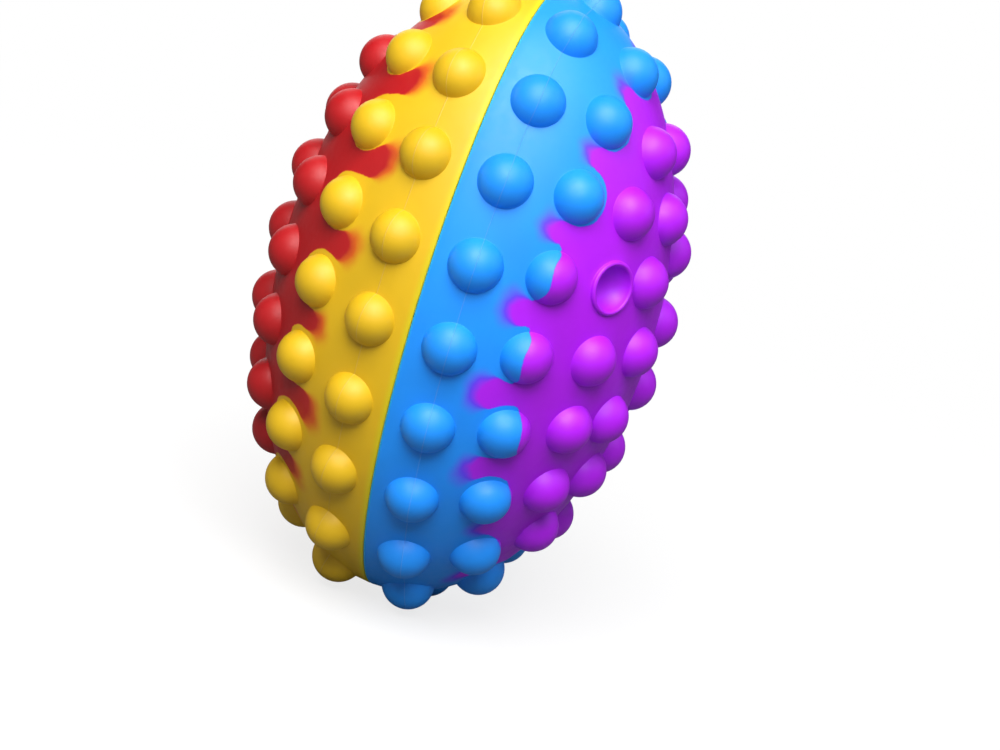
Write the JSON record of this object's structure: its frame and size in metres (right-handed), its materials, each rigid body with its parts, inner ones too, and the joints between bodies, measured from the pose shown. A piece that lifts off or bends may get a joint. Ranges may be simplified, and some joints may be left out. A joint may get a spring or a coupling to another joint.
{
  "type": "sensory ball",
  "caption": "Hollow squeezable silicone ball of two bonded two-colour halves, its skin covered in rows of bubbles that pop in and out.",
  "frame": {"origin": "middle of the ball", "axes": "+Z along the squeezed ball's long axis, upright as it is held; +X to the blue and purple half, square to the seam; -Y towards the pictured side"},
  "size_m": [0.1244, 0.1236, 0.1986],
  "materials": {
    "blue_silicone": "satin",
    "purple_silicone": "satin",
    "yellow_silicone": "satin",
    "red_silicone": "satin",
    "bond_silicone": "satin"
  },
  "bodies": {
    "ball_wall": {"blue_band": "blue_silicone", "purple_cap": "purple_silicone", "yellow_band": "yellow_silicone", "red_cap": "red_silicone", "seam_bond": "bond_silicone", "far_blue_bubbles": "blue_silicone", "far_purple_bubbles": "purple_silicone", "far_yellow_bubbles": "yellow_silicone", "far_red_bubbles": "red_silicone"},
    "blue_bubble_1_1": {"blue_bubble_1_1": "blue_silicone"},
    "blue_bubble_1_2": {"blue_bubble_1_2": "blue_silicone"},
    "blue_bubble_1_3": {"blue_bubble_1_3": "blue_silicone"},
    "blue_bubble_1_4": {"blue_bubble_1_4": "blue_silicone"},
    "blue_bubble_1_5": {"blue_bubble_1_5": "blue_silicone"},
    "blue_bubble_1_6": {"blue_bubble_1_6": "blue_silicone"},
    "blue_bubble_1_7": {"blue_bubble_1_7": "blue_silicone"},
    "blue_bubble_1_8": {"blue_bubble_1_8": "blue_silicone"},
    "blue_bubble_1_9": {"blue_bubble_1_9": "blue_silicone"},
    "blue_bubble_2_1": {"blue_bubble_2_1": "blue_silicone"},
    "blue_bubble_2_2": {"blue_bubble_2_2": "blue_silicone"},
    "blue_bubble_2_3": {"blue_bubble_2_3": "blue_silicone"},
    "blue_bubble_2_4": {"blue_bubble_2_4": "blue_silicone"},
    "blue_bubble_2_5": {"blue_bubble_2_5": "blue_silicone"},
    "blue_bubble_2_6": {"blue_bubble_2_6": "blue_silicone"},
    "blue_bubble_2_7": {"blue_bubble_2_7": "blue_silicone"},
    "blue_bubble_2_8": {"blue_bubble_2_8": "blue_silicone"},
    "purple_bubble_3_1": {"purple_bubble_3_1": "purple_silicone"},
    "purple_bubble_3_2": {"purple_bubble_3_2": "purple_silicone"},
    "popped_bubble": {"popped_bubble": "purple_silicone"},
    "purple_bubble_3_4": {"purple_bubble_3_4": "purple_silicone"},
    "purple_bubble_3_5": {"purple_bubble_3_5": "purple_silicone"},
    "purple_bubble_3_6": {"purple_bubble_3_6": "purple_silicone"},
    "purple_bubble_3_7": {"purple_bubble_3_7": "purple_silicone"},
    "purple_bubble_4_1": {"purple_bubble_4_1": "purple_silicone"},
    "purple_bubble_4_2": {"purple_bubble_4_2": "purple_silicone"},
    "purple_bubble_4_3": {"purple_bubble_4_3": "purple_silicone"},
    "purple_bubble_4_4": {"purple_bubble_4_4": "purple_silicone"},
    "purple_bubble_4_5": {"purple_bubble_4_5": "purple_silicone"},
    "yellow_bubble_1_1": {"yellow_bubble_1_1": "yellow_silicone"},
    "yellow_bubble_1_2": {"yellow_bubble_1_2": "yellow_silicone"},
    "yellow_bubble_1_3": {"yellow_bubble_1_3": "yellow_silicone"},
    "yellow_bubble_1_4": {"yellow_bubble_1_4": "yellow_silicone"},
    "yellow_bubble_1_5": {"yellow_bubble_1_5": "yellow_silicone"},
    "yellow_bubble_1_6": {"yellow_bubble_1_6": "yellow_silicone"},
    "yellow_bubble_1_7": {"yellow_bubble_1_7": "yellow_silicone"},
    "yellow_bubble_1_8": {"yellow_bubble_1_8": "yellow_silicone"},
    "yellow_bubble_1_9": {"yellow_bubble_1_9": "yellow_silicone"},
    "yellow_bubble_2_1": {"yellow_bubble_2_1": "yellow_silicone"},
    "yellow_bubble_2_2": {"yellow_bubble_2_2": "yellow_silicone"},
    "yellow_bubble_2_3": {"yellow_bubble_2_3": "yellow_silicone"},
    "yellow_bubble_2_4": {"yellow_bubble_2_4": "yellow_silicone"},
    "yellow_bubble_2_5": {"yellow_bubble_2_5": "yellow_silicone"},
    "yellow_bubble_2_6": {"yellow_bubble_2_6": "yellow_silicone"},
    "yellow_bubble_2_7": {"yellow_bubble_2_7": "yellow_silicone"},
    "yellow_bubble_2_8": {"yellow_bubble_2_8": "yellow_silicone"},
    "red_bubble_3_1": {"red_bubble_3_1": "red_silicone"},
    "red_bubble_3_2": {"red_bubble_3_2": "red_silicone"},
    "red_bubble_3_3": {"red_bubble_3_3": "red_silicone"},
    "red_bubble_3_4": {"red_bubble_3_4": "red_silicone"},
    "red_bubble_3_5": {"red_bubble_3_5": "red_silicone"}
  },
  "joints": [
    {"name": "blue_bubble_1_1_pop", "type": "slide", "parent": "ball_wall", "child": "blue_bubble_1_1", "axis": [-0.3142, 0.5105, -0.8004], "range_m": [0, 0.011]},
    {"name": "blue_bubble_1_2_pop", "type": "slide", "parent": "ball_wall", "child": "blue_bubble_1_2", "axis": [-0.2644, 0.803, -0.5341], "range_m": [0, 0.011]},
    {"name": "blue_bubble_1_3_pop", "type": "slide", "parent": "ball_wall", "child": "blue_bubble_1_3", "axis": [-0.2347, 0.9181, -0.3195], "range_m": [0, 0.011]},
    {"name": "blue_bubble_1_4_pop", "type": "slide", "parent": "ball_wall", "child": "blue_bubble_1_4", "axis": [-0.2203, 0.9647, -0.1445], "range_m": [0, 0.011]},
    {"name": "blue_bubble_1_5_pop", "type": "slide", "parent": "ball_wall", "child": "blue_bubble_1_5", "axis": [-0.2165, 0.9762, 0.0141], "range_m": [0, 0.011]},
    {"name": "blue_bubble_1_6_pop", "type": "slide", "parent": "ball_wall", "child": "blue_bubble_1_6", "axis": [-0.222, 0.9594, 0.1742], "range_m": [0, 0.011]},
    {"name": "blue_bubble_1_7_pop", "type": "slide", "parent": "ball_wall", "child": "blue_bubble_1_7", "axis": [-0.2387, 0.9041, 0.3544], "range_m": [0, 0.011]},
    {"name": "blue_bubble_1_8_pop", "type": "slide", "parent": "ball_wall", "child": "blue_bubble_1_8", "axis": [-0.272, 0.7687, 0.5789], "range_m": [0, 0.011]},
    {"name": "blue_bubble_1_9_pop", "type": "slide", "parent": "ball_wall", "child": "blue_bubble_1_9", "axis": [-0.3238, 0.4225, 0.8465], "range_m": [0, 0.011]},
    {"name": "blue_bubble_2_1_pop", "type": "slide", "parent": "ball_wall", "child": "blue_bubble_2_1", "axis": [-0.7223, 0.1304, -0.6792], "range_m": [0, 0.011]},
    {"name": "blue_bubble_2_2_pop", "type": "slide", "parent": "ball_wall", "child": "blue_bubble_2_2", "axis": [-0.6599, 0.5461, -0.516], "range_m": [0, 0.011]},
    {"name": "blue_bubble_2_3_pop", "type": "slide", "parent": "ball_wall", "child": "blue_bubble_2_3", "axis": [-0.6058, 0.727, -0.3232], "range_m": [0, 0.011]},
    {"name": "blue_bubble_2_4_pop", "type": "slide", "parent": "ball_wall", "child": "blue_bubble_2_4", "axis": [-0.5796, 0.7999, -0.1557], "range_m": [0, 0.011]},
    {"name": "blue_bubble_2_5_pop", "type": "slide", "parent": "ball_wall", "child": "blue_bubble_2_5", "axis": [-0.5721, 0.8202, -0.003], "range_m": [0, 0.011]},
    {"name": "blue_bubble_2_6_pop", "type": "slide", "parent": "ball_wall", "child": "blue_bubble_2_6", "axis": [-0.579, 0.8015, 0.1494], "range_m": [0, 0.011]},
    {"name": "blue_bubble_2_7_pop", "type": "slide", "parent": "ball_wall", "child": "blue_bubble_2_7", "axis": [-0.6043, 0.7314, 0.316], "range_m": [0, 0.011]},
    {"name": "blue_bubble_2_8_pop", "type": "slide", "parent": "ball_wall", "child": "blue_bubble_2_8", "axis": [-0.6572, 0.5568, 0.508], "range_m": [0, 0.011]},
    {"name": "purple_bubble_3_1_pop", "type": "slide", "parent": "ball_wall", "child": "purple_bubble_3_1", "axis": [-0.8807, 0.1804, -0.438], "range_m": [0, 0.011]},
    {"name": "purple_bubble_3_2_pop", "type": "slide", "parent": "ball_wall", "child": "purple_bubble_3_2", "axis": [-0.8461, 0.4409, -0.2995], "range_m": [0, 0.011]},
    {"name": "popped_bubble_pop", "type": "slide", "parent": "ball_wall", "child": "popped_bubble", "axis": [0.8359, -0.5279, 0.1504], "range_m": [0, 0.011]},
    {"name": "purple_bubble_3_4_pop", "type": "slide", "parent": "ball_wall", "child": "purple_bubble_3_4", "axis": [-0.8414, 0.5403, -0.011], "range_m": [0, 0.011]},
    {"name": "purple_bubble_3_5_pop", "type": "slide", "parent": "ball_wall", "child": "purple_bubble_3_5", "axis": [-0.8365, 0.5328, 0.1276], "range_m": [0, 0.011]},
    {"name": "purple_bubble_3_6_pop", "type": "slide", "parent": "ball_wall", "child": "purple_bubble_3_6", "axis": [-0.8425, 0.4632, 0.275], "range_m": [0, 0.011]},
    {"name": "purple_bubble_3_7_pop", "type": "slide", "parent": "ball_wall", "child": "purple_bubble_3_7", "axis": [-0.8751, 0.2391, 0.4207], "range_m": [0, 0.011]},
    {"name": "purple_bubble_4_1_pop", "type": "slide", "parent": "ball_wall", "child": "purple_bubble_4_1", "axis": [-0.9598, 0.0409, -0.2776], "range_m": [0, 0.011]},
    {"name": "purple_bubble_4_2_pop", "type": "slide", "parent": "ball_wall", "child": "purple_bubble_4_2", "axis": [-0.955, 0.2516, -0.1569], "range_m": [0, 0.011]},
    {"name": "purple_bubble_4_3_pop", "type": "slide", "parent": "ball_wall", "child": "purple_bubble_4_3", "axis": [-0.9813, 0.1915, -0.02], "range_m": [0, 0.011]},
    {"name": "purple_bubble_4_4_pop", "type": "slide", "parent": "ball_wall", "child": "purple_bubble_4_4", "axis": [-0.96, 0.2558, 0.1139], "range_m": [0, 0.011]},
    {"name": "purple_bubble_4_5_pop", "type": "slide", "parent": "ball_wall", "child": "purple_bubble_4_5", "axis": [-0.9567, 0.1443, 0.2528], "range_m": [0, 0.011]},
    {"name": "yellow_bubble_1_1_pop", "type": "slide", "parent": "ball_wall", "child": "yellow_bubble_1_1", "axis": [0.3142, 0.5105, -0.8004], "range_m": [0, 0.011]},
    {"name": "yellow_bubble_1_2_pop", "type": "slide", "parent": "ball_wall", "child": "yellow_bubble_1_2", "axis": [0.2644, 0.803, -0.5341], "range_m": [0, 0.011]},
    {"name": "yellow_bubble_1_3_pop", "type": "slide", "parent": "ball_wall", "child": "yellow_bubble_1_3", "axis": [0.2347, 0.9181, -0.3195], "range_m": [0, 0.011]},
    {"name": "yellow_bubble_1_4_pop", "type": "slide", "parent": "ball_wall", "child": "yellow_bubble_1_4", "axis": [0.2203, 0.9647, -0.1445], "range_m": [0, 0.011]},
    {"name": "yellow_bubble_1_5_pop", "type": "slide", "parent": "ball_wall", "child": "yellow_bubble_1_5", "axis": [0.2165, 0.9762, 0.0141], "range_m": [0, 0.011]},
    {"name": "yellow_bubble_1_6_pop", "type": "slide", "parent": "ball_wall", "child": "yellow_bubble_1_6", "axis": [0.222, 0.9594, 0.1742], "range_m": [0, 0.011]},
    {"name": "yellow_bubble_1_7_pop", "type": "slide", "parent": "ball_wall", "child": "yellow_bubble_1_7", "axis": [0.2387, 0.9041, 0.3544], "range_m": [0, 0.011]},
    {"name": "yellow_bubble_1_8_pop", "type": "slide", "parent": "ball_wall", "child": "yellow_bubble_1_8", "axis": [0.272, 0.7687, 0.5789], "range_m": [0, 0.011]},
    {"name": "yellow_bubble_1_9_pop", "type": "slide", "parent": "ball_wall", "child": "yellow_bubble_1_9", "axis": [0.3238, 0.4225, 0.8465], "range_m": [0, 0.011]},
    {"name": "yellow_bubble_2_1_pop", "type": "slide", "parent": "ball_wall", "child": "yellow_bubble_2_1", "axis": [0.7223, 0.1304, -0.6792], "range_m": [0, 0.011]},
    {"name": "yellow_bubble_2_2_pop", "type": "slide", "parent": "ball_wall", "child": "yellow_bubble_2_2", "axis": [0.6599, 0.5461, -0.516], "range_m": [0, 0.011]},
    {"name": "yellow_bubble_2_3_pop", "type": "slide", "parent": "ball_wall", "child": "yellow_bubble_2_3", "axis": [0.6058, 0.727, -0.3232], "range_m": [0, 0.011]},
    {"name": "yellow_bubble_2_4_pop", "type": "slide", "parent": "ball_wall", "child": "yellow_bubble_2_4", "axis": [0.5796, 0.7999, -0.1557], "range_m": [0, 0.011]},
    {"name": "yellow_bubble_2_5_pop", "type": "slide", "parent": "ball_wall", "child": "yellow_bubble_2_5", "axis": [0.5721, 0.8202, -0.003], "range_m": [0, 0.011]},
    {"name": "yellow_bubble_2_6_pop", "type": "slide", "parent": "ball_wall", "child": "yellow_bubble_2_6", "axis": [0.579, 0.8015, 0.1494], "range_m": [0, 0.011]},
    {"name": "yellow_bubble_2_7_pop", "type": "slide", "parent": "ball_wall", "child": "yellow_bubble_2_7", "axis": [0.6043, 0.7314, 0.316], "range_m": [0, 0.011]},
    {"name": "yellow_bubble_2_8_pop", "type": "slide", "parent": "ball_wall", "child": "yellow_bubble_2_8", "axis": [0.6572, 0.5568, 0.508], "range_m": [0, 0.011]},
    {"name": "red_bubble_3_1_pop", "type": "slide", "parent": "ball_wall", "child": "red_bubble_3_1", "axis": [0.8807, 0.1804, -0.438], "range_m": [0, 0.011]},
    {"name": "red_bubble_3_2_pop", "type": "slide", "parent": "ball_wall", "child": "red_bubble_3_2", "axis": [0.8461, 0.4409, -0.2995], "range_m": [0, 0.011]},
    {"name": "red_bubble_3_3_pop", "type": "slide", "parent": "ball_wall", "child": "red_bubble_3_3", "axis": [0.8359, 0.5279, -0.1504], "range_m": [0, 0.011]},
    {"name": "red_bubble_3_4_pop", "type": "slide", "parent": "ball_wall", "child": "red_bubble_3_4", "axis": [0.8414, 0.5403, -0.011], "range_m": [0, 0.011]},
    {"name": "red_bubble_3_5_pop", "type": "slide", "parent": "ball_wall", "child": "red_bubble_3_5", "axis": [0.8365, 0.5328, 0.1276], "range_m": [0, 0.011]}
  ]
}
